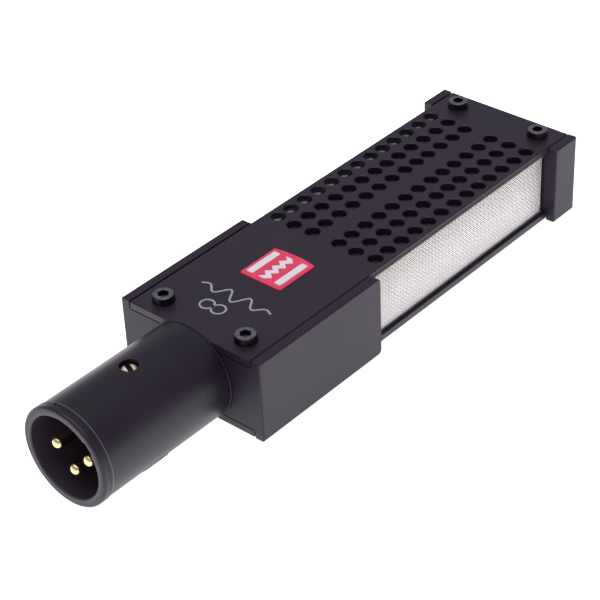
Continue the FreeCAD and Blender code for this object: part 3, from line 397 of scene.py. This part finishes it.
def weave_height(tree, where, pitch):
    """Height of a plain weave in the plane of x and y, from 0 to 1."""
    split = add(tree, "ShaderNodeSeparateXYZ", {"Vector": where})
    turn = math.pi / pitch
    across = math_node(tree, "SINE", math_node(tree, "MULTIPLY", split.outputs["X"], turn))
    along = math_node(tree, "SINE", math_node(tree, "MULTIPLY", split.outputs["Y"], turn))
    over = math_node(tree, "MULTIPLY", across, along)
    return math_node(tree, "ABSOLUTE", over)


def dark_weave(name, colour, pitch):
    """Black woven screen, with painted shade in the weave's dips."""
    material, tree, shader = new_material(name)
    where = place(tree)
    height = weave_height(tree, where, pitch)
    # Painted shade: darker in the weave's dips
    base = colours(tree, height, (0.15, scaled(colour, 0.4)), (0.8, colour))
    rough = remap(tree, noise(tree, where, 0.4 * MM), 0.3, 0.7, 0.6, 0.8)
    finish_shader(tree, shader, base, rough, bump(tree, height, 0.1 * MM, 0.8))
    return material


def enamel(name, colour):
    """Glossy enamel with slight pooling, under a clear coat."""
    material, tree, shader = new_material(name)
    where = place(tree)
    pool = noise(tree, where, 3.5 * MM, 2.0, 0.5)
    fine = noise(tree, where, 0.3 * MM, 3.0, 0.6)
    base = colours(tree, pool, (0.3, scaled(colour, 0.88)), (0.7, scaled(colour, 1.1)))
    rough = remap(tree, fine, 0.3, 0.7, 0.2, 0.3)
    normal = bump(tree, pool, 0.05 * MM, 0.3)
    finish_shader(tree, shader, base, rough, normal, Coat_Weight=0.6, Coat_Roughness=0.12)
    return material


def laminations(name, colour, pitch):
    """Stack of varnished steel sheets, seen as fine lines across z."""
    material, tree, shader = new_material(name)
    where = place(tree)
    height = add(tree, "ShaderNodeSeparateXYZ", {"Vector": where}).outputs["Z"]
    phase = math_node(tree, "SINE", math_node(tree, "MULTIPLY", height, 2 * math.pi / pitch))
    rust = noise(tree, where, 1.2 * MM, 4.0, 0.6)
    base = colours(tree, rust, (0.35, scaled(colour, 0.75)), (0.7, colour))
    base = mixed(tree, remap(tree, phase, 0.6, 1.0, 0.0, 0.8), base, scaled(colour, 0.2))
    rough = remap(tree, rust, 0.3, 0.7, 0.35, 0.5)
    finish_shader(tree, shader, base, rough, bump(tree, phase, 0.03 * MM, 0.5), Metallic=0.8)
    return material


def wound_wire(name, colour, pitch):
    """Enamelled copper wire wound round the bobbin, turn beside turn along y."""
    material, tree, shader = new_material(name)
    where = place(tree)
    along = add(tree, "ShaderNodeSeparateXYZ", {"Vector": where}).outputs["Y"]
    turns = math_node(tree, "ABSOLUTE", math_node(
        tree, "SINE", math_node(tree, "MULTIPLY", along, math.pi / pitch)))
    varnish = noise(tree, where, 1.0 * MM, 3.0, 0.6)
    base = colours(tree, varnish, (0.3, scaled(colour, 0.8)), (0.7, colour))
    # Painted shade: dark in the grooves between the turns
    base = mixed(tree, remap(tree, turns, 0.0, 0.5, 0.8, 0.0), base, scaled(colour, 0.15))
    rough = remap(tree, varnish, 0.3, 0.7, 0.22, 0.34)
    finish_shader(tree, shader, base, rough, bump(tree, turns, pitch * 0.5, 0.8), Metallic=0.9)
    return material


def wire_mesh_steel(name):
    """Bright drawn wire, with painted shade: duller towards the front plate and dark where it meets that
    plate.
    """
    material, tree, shader = new_material(name)
    where = place(tree)
    patches = noise(tree, where, 5 * MM, 3.0, 0.55)
    drawn = noise(tree, where, 0.1 * MM, 2.0, 0.5)
    low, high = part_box("right_side_mesh")
    up = add(tree, "ShaderNodeSeparateXYZ", {"Vector": where}).outputs["Z"]
    share = remap(tree, up, low.z, high.z, 0.0, 1.0)
    # Painted shade: darker towards the front plate, and dark where the wires meet it, for the shade under
    # its overhang
    base = colours(
        tree, share,
        (0.0, (0.99, 0.965, 0.95)), (0.45, (0.99, 0.965, 0.945)),
        (0.94, (0.80, 0.775, 0.74)), (0.985, (0.20, 0.185, 0.17)),
    )
    base = mixed(tree, remap(tree, patches, 0.35, 0.65, 0.0, 0.12), base, (0.86, 0.84, 0.815))
    base = mixed(tree, remap(tree, drawn, 0.4, 0.7, 0.0, 0.2), base, (0.76, 0.74, 0.72))
    rough = remap(tree, drawn, 0.3, 0.7, 0.36, 0.5)
    finish_shader(tree, shader, base, rough, None, Metallic=0.85)
    return material


def folded_steel(name):
    """Greyed wire, flattened where a mesh is folded in under a plate."""
    material, tree, shader = new_material(name)
    where = place(tree)
    drawn = noise(tree, where, 0.1 * MM, 2.0, 0.5)
    base = colours(tree, drawn, (0.3, (0.33, 0.31, 0.34)), (0.7, (0.43, 0.41, 0.45)))
    rough = remap(tree, drawn, 0.3, 0.7, 0.4, 0.55)
    finish_shader(tree, shader, base, rough, bump(tree, drawn, 0.004 * MM, 0.5), Metallic=0.4)
    return material


def silver_paint(name):
    """Silver white lacquer of the raised emblem."""
    material, tree, shader = new_material(name)
    where = place(tree)
    flake = noise(tree, where, 0.08 * MM, 3.0, 0.6)
    shade = noise(tree, where, 2.0 * MM, 3.0, 0.55)
    base = colours(tree, shade, (0.3, (0.90, 0.89, 0.92)), (0.7, (0.97, 0.96, 0.99)))
    base = mixed(tree, remap(tree, flake, 0.55, 0.8, 0.0, 0.5), base, (0.72, 0.72, 0.77))
    rough = remap(tree, flake, 0.3, 0.7, 0.38, 0.5)
    finish_shader(tree, shader, base, rough, bump(tree, flake, 0.004 * MM, 0.5), Metallic=0.25)
    return material


def printed_ink(name):
    """Pale grey screen print with slightly uneven cover."""
    material, tree, shader = new_material(name)
    where = place(tree)
    cover = noise(tree, where, 0.12 * MM, 3.0, 0.6)
    base = colours(tree, cover, (0.3, (0.33, 0.33, 0.35)), (0.7, (0.46, 0.46, 0.48)))
    rough = remap(tree, cover, 0.3, 0.7, 0.45, 0.6)
    finish_shader(tree, shader, base, rough, bump(tree, cover, 0.006 * MM, 0.5))
    return material


def slot_materials():
    """Each material slot of the record, with its finish."""
    coat = (0.0135, 0.0082, 0.0200)
    drawn_y = (1.0, 0.04, 1.0)
    return {
        "body_coat": powder_coat("body_coat", scaled(coat, 1.1), 0.44, 0.345),
        "plate_coat": powder_coat("plate_coat", coat, 0.42, 0.45, kind="plate"),
        "stem_coat": powder_coat("stem_coat", scaled(coat, 0.8), 0.38, 0.38, 0.07 * MM, 0.008 * MM, "stem"),
        "black_screw": black_oxide("black_screw"),
        "mesh_wire": wire_mesh_steel("mesh_wire"),
        "dark_screen": dark_weave("dark_screen", (0.045, 0.025, 0.052), CLOTH_PITCH),
        "badge_enamel": enamel("badge_enamel", (0.90, 0.035, 0.12)),
        "badge_silver": silver_paint("badge_silver"),
        "nut_brass": bright_metal("nut_brass", (0.75, 0.52, 0.22), 0.3, drawn_y),
        "label_film": moulded_plastic("label_film", (0.018, 0.017, 0.02), 0.3, 0.003 * MM),
        "tinned_brass": bright_metal("tinned_brass", (0.72, 0.72, 0.7), 0.32),
        "insert_plastic": moulded_plastic("insert_plastic", (0.007, 0.006, 0.009), 0.5),
        "contact_gold": bright_metal("contact_gold", (1.0, 0.82, 0.42), 0.06, drawn_y, depth=0.001 * MM),
        "lock_brass": slotted_brass("lock_brass"),
        "soft_iron": bright_metal("soft_iron", (0.42, 0.41, 0.4), 0.42, drawn_y),
        "magnet_nickel": bright_metal("magnet_nickel", (0.72, 0.7, 0.67), 0.22, depth=0.002 * MM),
        "ribbon_foil": bright_metal("ribbon_foil", (0.91, 0.91, 0.92), 0.25, (0.05, 1.0, 1.0)),
        "clamp_laminate": moulded_plastic("clamp_laminate", (0.2, 0.09, 0.03), 0.45),
        "clamp_brass": bright_metal("clamp_brass", (0.78, 0.56, 0.26), 0.28, (0.05, 1.0, 1.0)),
        "small_steel": bright_metal("small_steel", (0.55, 0.55, 0.56), 0.3),
        "resonator_brass": bright_metal("resonator_brass", (0.7, 0.5, 0.24), 0.34, drawn_y),
        "pad_rubber": soft_rubber("pad_rubber", (0.02, 0.02, 0.021), 0.2 * MM),
        "core_steel": laminations("core_steel", (0.36, 0.35, 0.34), 0.35 * MM),
        "bobbin_nylon": moulded_plastic("bobbin_nylon", (0.62, 0.6, 0.53), 0.4),
        "copper_wire": wound_wire("copper_wire", (0.78, 0.3, 0.12), 0.12 * MM),
        "winding_tape": moulded_plastic("winding_tape", (0.72, 0.46, 0.06), 0.25, 0.004 * MM),
        "foam": soft_rubber("foam", (0.07, 0.07, 0.075), 0.45 * MM),
        "lead_white": moulded_plastic("lead_white", (0.75, 0.74, 0.71), 0.38),
        "lead_red": moulded_plastic("lead_red", (0.55, 0.02, 0.02), 0.38),
        "lead_blue": moulded_plastic("lead_blue", (0.03, 0.09, 0.45), 0.38),
        "lead_black": moulded_plastic("lead_black", (0.015, 0.015, 0.016), 0.38),
    }


# ---------------------------------------------------------------- pieces


def new_piece(name, vertices, faces, material, smooth):
    """A mesh object in the CAD frame."""
    mesh = bpy.data.meshes.new(name)
    mesh.from_pydata(vertices, [], faces)
    mesh.update()
    mesh.polygons.foreach_set("use_smooth", [smooth] * len(mesh.polygons))
    mesh.materials.append(material)
    piece = bpy.data.objects.new(name, mesh)
    bpy.context.scene.collection.objects.link(piece)
    return piece


def joined(parts):
    """Vertices and faces of several parts as one."""
    vertices = []
    faces = []
    for part_vertices, part_faces in parts:
        start = len(vertices)
        vertices += part_vertices
        faces += [[start + corner for corner in face] for face in part_faces]
    return vertices, faces


def tube(path, radius, sides, side_axis, up_axis):
    """Capped tube along a gently waving path. Its rings lie across the path's mean direction."""
    count = len(path)
    turns = np.arange(sides) * 2 * math.pi / sides
    ring = radius * (np.outer(np.cos(turns), side_axis) + np.outer(np.sin(turns), up_axis))
    vertices = (path[:, None, :] + ring[None, :, :]).reshape(-1, 3)
    start = np.arange(count - 1)[:, None] * sides
    here = np.arange(sides)[None, :]
    following = (here + 1) % sides
    after = start + sides
    quads = np.stack([start + here, start + following, after + following, after + here], axis=-1)
    faces = quads.reshape(-1, 4).tolist()
    faces.append(list(range(sides))[::-1])
    faces.append([(count - 1) * sides + i for i in range(sides)])
    return vertices.tolist(), faces


def crossings(low, high, pitch):
    """Middles of the wires that fit between low and high, evenly spaced and centred."""
    count = int((high - low) / pitch)
    first = (low + high) / 2 - (count - 1) * pitch / 2
    return first + np.arange(count) * pitch


def wire_path(fixed_axis, fixed, run_axis, run, middle_x, phase, wave):
    """Path of one wire, flat over and under each wire that it crosses.

    phase is 1 or -1, the side that it takes at its first crossing.
    """
    places = (run[:, None] + np.array([-WIRE_FLAT, WIRE_FLAT])[None, :]).ravel()
    side = phase * np.where(np.arange(len(run)) % 2 == 0, 1.0, -1.0)
    path = np.zeros((len(places), 3))
    path[:, 0] = middle_x + wave * np.repeat(side, 2)
    path[:, fixed_axis] = fixed
    path[:, run_axis] = places
    return path


def woven_mesh(name, node, material):
    """Plain woven wire in place of a CAD strip, with real wires that pass over and under each other."""
    low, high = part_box(node)
    middle_x = (low.x + high.x) / 2
    ys = crossings(low.y + CROSS_RADIUS, high.y - CROSS_RADIUS, WIRE_PITCH)
    zs = crossings(low.z + LONG_RADIUS, high.z - LONG_RADIUS, WIRE_PITCH)
    x_axis, y_axis, z_axis = np.eye(3)
    wires = []
    for i, y in enumerate(ys):
        path = wire_path(1, y, 2, zs, middle_x, 1 if i % 2 == 0 else -1, CROSS_WAVE)
        wires.append(tube(path, CROSS_RADIUS, WIRE_SIDES, x_axis, y_axis))
    for j, z in enumerate(zs):
        path = wire_path(2, z, 1, ys, middle_x, -1 if j % 2 == 0 else 1, LONG_WAVE)
        wires.append(tube(path, LONG_RADIUS, WIRE_SIDES, z_axis, x_axis))
    vertices, faces = joined(wires)
    piece = new_piece(name, vertices, faces, material, True)
    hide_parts(node)
    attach(piece, "microphone")


def cloth(name, low, high, thin, relief, material):
    """Fine woven sheet that fills the box from low to high, with threads raised on both faces.

    thin is the number of the axis across the sheet.
    """
    first, second = [axis for axis in range(3) if axis != thin]
    along, across = (
        np.linspace(low[axis], high[axis], int((high[axis] - low[axis]) / CLOTH_PITCH) + 1)
        for axis in (first, second)
    )
    rows, count = len(along), len(across)
    vertices = []
    for level in (low[thin] + relief, high[thin] - relief):
        for i, a in enumerate(along):
            for j, b in enumerate(across):
                corner = [0.0, 0.0, 0.0]
                corner[first] = a
                corner[second] = b
                corner[thin] = level + relief * (1 if (i + j) % 2 else -1)
                vertices.append(corner)
    back = rows * count
    faces = []
    for i in range(rows - 1):
        for j in range(count - 1):
            a = i * count + j
            quad = (a, a + 1, a + count + 1, a + count)
            faces.append(quad)
            faces.append(tuple(back + corner for corner in quad[::-1]))
    rim = list(range(count))
    rim += [i * count + count - 1 for i in range(1, rows)]
    rim += [(rows - 1) * count + j for j in range(count - 2, -1, -1)]
    rim += [i * count for i in range(rows - 2, 0, -1)]
    faces += [(b, a, back + a, back + b) for a, b in zip(rim, rim[1:] + rim[:1])]
    piece = new_piece(name, vertices, faces, material, False)
    shape = bmesh.new()
    shape.from_mesh(piece.data)
    bmesh.ops.recalc_face_normals(shape, faces=shape.faces)
    shape.to_mesh(piece.data)
    shape.free()
    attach(piece, "microphone")
    return piece


def mesh_cloth(name, node, side, material):
    """Fine cloth along a side mesh's inner face. side is 1 on the right and -1 on the left."""
    low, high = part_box(node)
    inner = low.x if side > 0 else high.x
    near, far = inner - side * CLOTH_GAP, inner - side * (CLOTH_GAP + CLOTH_THICK)
    low_corner = (min(near, far), low.y, low.z)
    high_corner = (max(near, far), high.y, high.z)
    piece = cloth(name, low_corner, high_corner, 0, CLOTH_RELIEF, material)


def mesh_flange(name, node, side, face, material):
    """Edge of a side mesh, folded in under a plate. face is 1 at the front and -1 at the back."""
    low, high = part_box(node)
    outer = high.x if side > 0 else low.x
    edge = high.z if face > 0 else low.z
    xs = sorted((side * FLANGE_START, outer))
    zs = sorted((edge - face * FLANGE_GAP, edge - face * (FLANGE_GAP + FLANGE_THICK)))
    piece = cloth(name, (xs[0], low.y, zs[0]), (xs[1], high.y, zs[1]), 2, CLOTH_RELIEF, material)


def plate_cloth(name, node, material):
    """Woven screen under a plate, as wide as the side meshes let it be."""
    low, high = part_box(node)
    low_corner = (-SCREEN_REACH, low.y, low.z)
    high_corner = (SCREEN_REACH, high.y, high.z)
    piece = cloth(name, low_corner, high_corner, 2, SCREEN_RELIEF, material)
    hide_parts(node)


def flat_line(points, width, closed):
    """Outline of a line of that width through points in a plane, as its left and right borders."""
    points = np.array(points)
    if closed:
        ahead = np.roll(points, -1, axis=0)
        behind = np.roll(points, 1, axis=0)
    else:
        ahead = np.vstack([points[1:], 2 * points[-1] - points[-2]])
        behind = np.vstack([2 * points[0] - points[1], points[:-1]])
    run = ahead - behind
    run /= np.linalg.norm(run, axis=1)[:, None]
    aside = np.stack([-run[:, 1], run[:, 0]], axis=1) * width / 2
    return points + aside, points - aside


def raised_line(points, width, z_low, z_high, closed=False):
    """Solid line on a plane, as vertices and faces."""
    left, right = flat_line(points, width, closed)
    count = len(left)
    vertices = []
    for z in (z_low, z_high):
        for border in (left, right):
            vertices += [(x, y, z) for x, y in border]
    low_left, low_right, high_left, high_right = (k * count for k in range(4))
    faces = []
    for i in range(count if closed else count - 1):
        j = (i + 1) % count
        faces.append((high_left + i, high_right + i, high_right + j, high_left + j))
        faces.append((low_left + j, low_right + j, low_right + i, low_left + i))
        faces.append((low_left + i, high_left + i, high_left + j, low_left + j))
        faces.append((low_right + j, high_right + j, high_right + i, low_right + i))
    if not closed:
        last = count - 1
        faces.append((low_left, low_right, high_right, high_left))
        faces.append((low_right + last, low_left + last, high_left + last, high_right + last))
    return vertices, faces


def printed_marking(material):
    """A sound wave over a figure-of-eight pickup pattern, printed on the front plate."""
    low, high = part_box("front_plate")
    z_low = high.z - PRINT_SUNK
    z_high = high.z + PRINT_THICK
    wave = []
    for i in range(WAVE_STEPS + 1):
        share = i / WAVE_STEPS
        height = WAVE_HEIGHT * math.sin(math.pi * share) ** WAVE_TAPER
        y = low.y + WAVE_Y + height * math.sin(2 * math.pi * WAVE_COUNT * share)
        wave.append(((share - 0.5) * WAVE_LENGTH, y))
    strokes = [raised_line(wave, PRINT_LINE, z_low, z_high)]
    for side in (-1, 1):
        centre = PATTERN_X + side * PATTERN_RADIUS
        circle = []
        for i in range(PATTERN_STEPS):
            turn = 2 * math.pi * i / PATTERN_STEPS
            y = low.y + PATTERN_Y + PATTERN_RADIUS * math.sin(turn)
            circle.append((centre + PATTERN_RADIUS * math.cos(turn), y))
        strokes.append(raised_line(circle, PRINT_LINE, z_low, z_high, closed=True))
    vertices, faces = joined(strokes)
    piece = new_piece("printed_marking", vertices, faces, material, False)
    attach(piece, "microphone")


# ---------------------------------------------------------------- stage


def white_floor():
    """Pale floor that glows white, seen through from below."""
    corners = [(x * FLOOR_HALF, y * FLOOR_HALF, 0) for x, y in ((-1, -1), (1, -1), (1, 1), (-1, 1))]
    material, tree, shader = new_material("floor")
    where = place(tree)
    base = colours(tree, noise(tree, where, 0.4), (0.3, (0.86, 0.86, 0.865)), (0.7, (0.88, 0.88, 0.88)))
    rough = remap(tree, noise(tree, where, 0.02), 0.3, 0.7, 0.75, 0.85)
    finish_shader(tree, shader, base, rough, None, Emission_Strength=1.0)
    shader.inputs["Emission Color"].default_value = (1.0, 1.0, 1.0, 1.0)
    clear = add(tree, "ShaderNodeBsdfTransparent").outputs["BSDF"]
    behind = add(tree, "ShaderNodeNewGeometry").outputs["Backfacing"]
    mix = add(tree, "ShaderNodeMixShader", {0: behind, 1: shader.outputs["BSDF"], 2: clear})
    tree.links.new(mix.outputs["Shader"], tree.nodes["Material Output"].inputs["Surface"])
    floor = new_piece("floor", corners, [(0, 1, 2, 3)], material, False)


def soft_box():
    """Rectangular soft box overhead, aimed at the microphone's middle."""
    lamp = bpy.data.lights.new("overhead", "AREA")
    lamp.shape = "RECTANGLE"
    lamp.size = SOFT_BOX_WIDTH
    lamp.size_y = SOFT_BOX_LENGTH
    lamp.energy = SOFT_BOX_POWER
    holder = bpy.data.objects.new("overhead", lamp)
    holder.location = SOFT_BOX_PLACE
    holder.rotation_euler = (-Vector(SOFT_BOX_PLACE)).to_track_quat("-Z", "Y").to_euler()
    bpy.context.scene.collection.objects.link(holder)


def surround():
    """Dim, even light from all round."""
    world = bpy.data.worlds.new("studio")
    world.use_nodes = True
    background = world.node_tree.nodes["Background"]
    background.inputs["Color"].default_value = SURROUND
    background.inputs["Strength"].default_value = SURROUND_STRENGTH
    bpy.context.scene.world = world


def camera():
    """Camera above the connector end and to its right, rolled slightly."""
    lens = bpy.data.cameras.new("camera")
    lens.lens = CAMERA_LENS
    lens.sensor_width = CAMERA_SENSOR
    lens.clip_start = CAMERA_NEAR
    lens.clip_end = CAMERA_FAR
    holder = bpy.data.objects.new("camera", lens)
    level = math.cos(CAMERA_ELEVATION)
    back = Vector((
        math.sin(CAMERA_AZIMUTH) * level,
        -math.cos(CAMERA_AZIMUTH) * level,
        math.sin(CAMERA_ELEVATION),
    ))
    aim = (-back).to_track_quat("-Z", "Y").to_matrix().to_4x4()
    roll = Matrix.Rotation(CAMERA_ROLL, 4, "Z")
    holder.matrix_world = Matrix.Translation(CAMERA_TARGET + back * CAMERA_DISTANCE) @ aim @ roll
    bpy.context.scene.collection.objects.link(holder)
    bpy.context.scene.camera = holder


# ---------------------------------------------------------------- the scene


finishes = slot_materials()
for part in frame["record"]["subparts"]:
    node = frame["nodes"][part["node"]]
    for material_slot in node.material_slots:
        material_slot.material = finishes[part["material_slot"]]

folded = folded_steel("folded_steel")
for side_name, side in SIDES:
    woven_mesh(side_name + "_woven_mesh", side_name + "_side_mesh", finishes["mesh_wire"])
for side_name, side in SIDES:
    mesh_cloth(side_name + "_mesh_cloth", side_name + "_side_mesh", side, finishes["dark_screen"])
for face_name, face in FACES:
    for side_name, side in SIDES:
        edge_name = face_name + "_" + side_name + "_mesh_edge"
        mesh_flange(edge_name, side_name + "_side_mesh", side, face, folded)
for face_name, face in FACES:
    plate_cloth(face_name + "_woven_screen", face_name + "_screen", finishes["dark_screen"])
printed_marking(printed_ink("printed_ink"))

white_floor()
surround()
soft_box()
camera()
bpy.context.scene.view_settings.view_transform = "Standard"
